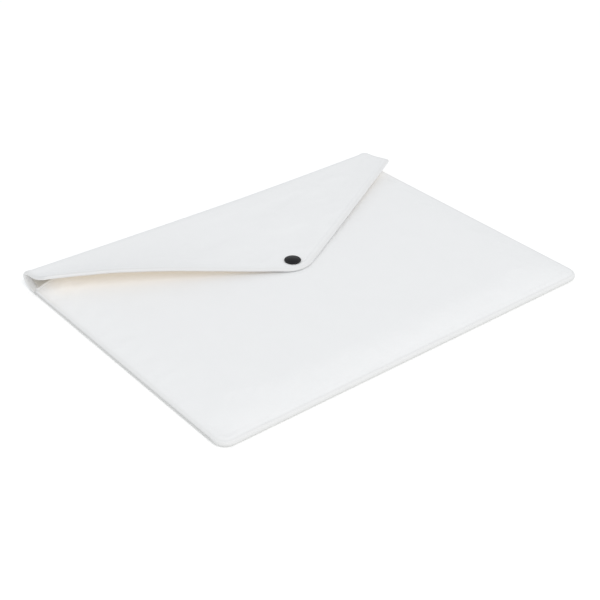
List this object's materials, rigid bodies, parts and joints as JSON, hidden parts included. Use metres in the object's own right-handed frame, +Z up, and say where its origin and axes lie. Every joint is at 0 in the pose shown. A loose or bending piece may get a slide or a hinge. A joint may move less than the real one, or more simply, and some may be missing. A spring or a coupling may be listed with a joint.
{
  "type": "portfolio case",
  "caption": "Slim soft white document case of envelope form, with a rounded V flap on a soft fold and a small round black snap, for flat sheets.",
  "frame": {"origin": "middle of the footprint, on the surface that the case lies on", "axes": "+X along the long side, +Y from the near long edge to the fold that carries the flap, +Z up through the panels"},
  "size_m": [0.33, 0.246, 0.0163],
  "materials": {
    "cover": "matte, very fine close weave, white",
    "lining": "matte, plain fine weave, off-white",
    "padding": "thin needled wadding",
    "thread": "polyester sewing thread",
    "snap_black": "satin black enamel",
    "snap_steel": "plain nickel-plated"
  },
  "bodies": {
    "case": {"back_cover": "cover", "back_padding": "padding", "back_lining": "lining", "bottom_fold": "cover", "left_side_seam": "cover", "right_side_seam": "cover", "left_seam_thread": "thread", "right_seam_thread": "thread", "front_cover": "cover", "front_padding": "padding", "front_lining": "lining", "mouth_hem": "cover", "fold_lower_cover": "cover", "fold_lower_padding": "padding", "fold_lower_lining": "lining", "snap_stud": "snap_steel", "snap_post": "snap_steel"},
    "flap": {"fold_upper_cover": "cover", "fold_upper_padding": "padding", "fold_upper_lining": "lining", "flap_cover": "cover", "flap_padding": "padding", "flap_lining": "lining", "flap_border": "cover", "snap_cap": "snap_black", "snap_socket": "snap_steel", "snap_spring": "snap_steel"}
  },
  "joints": [
    {"name": "flap_fold", "type": "hinge", "parent": "case", "child": "flap", "pos_m": [0, 0.1232, 0.008], "axis": [-1, 0, 0], "range_deg": [0, 165]}
  ]
}
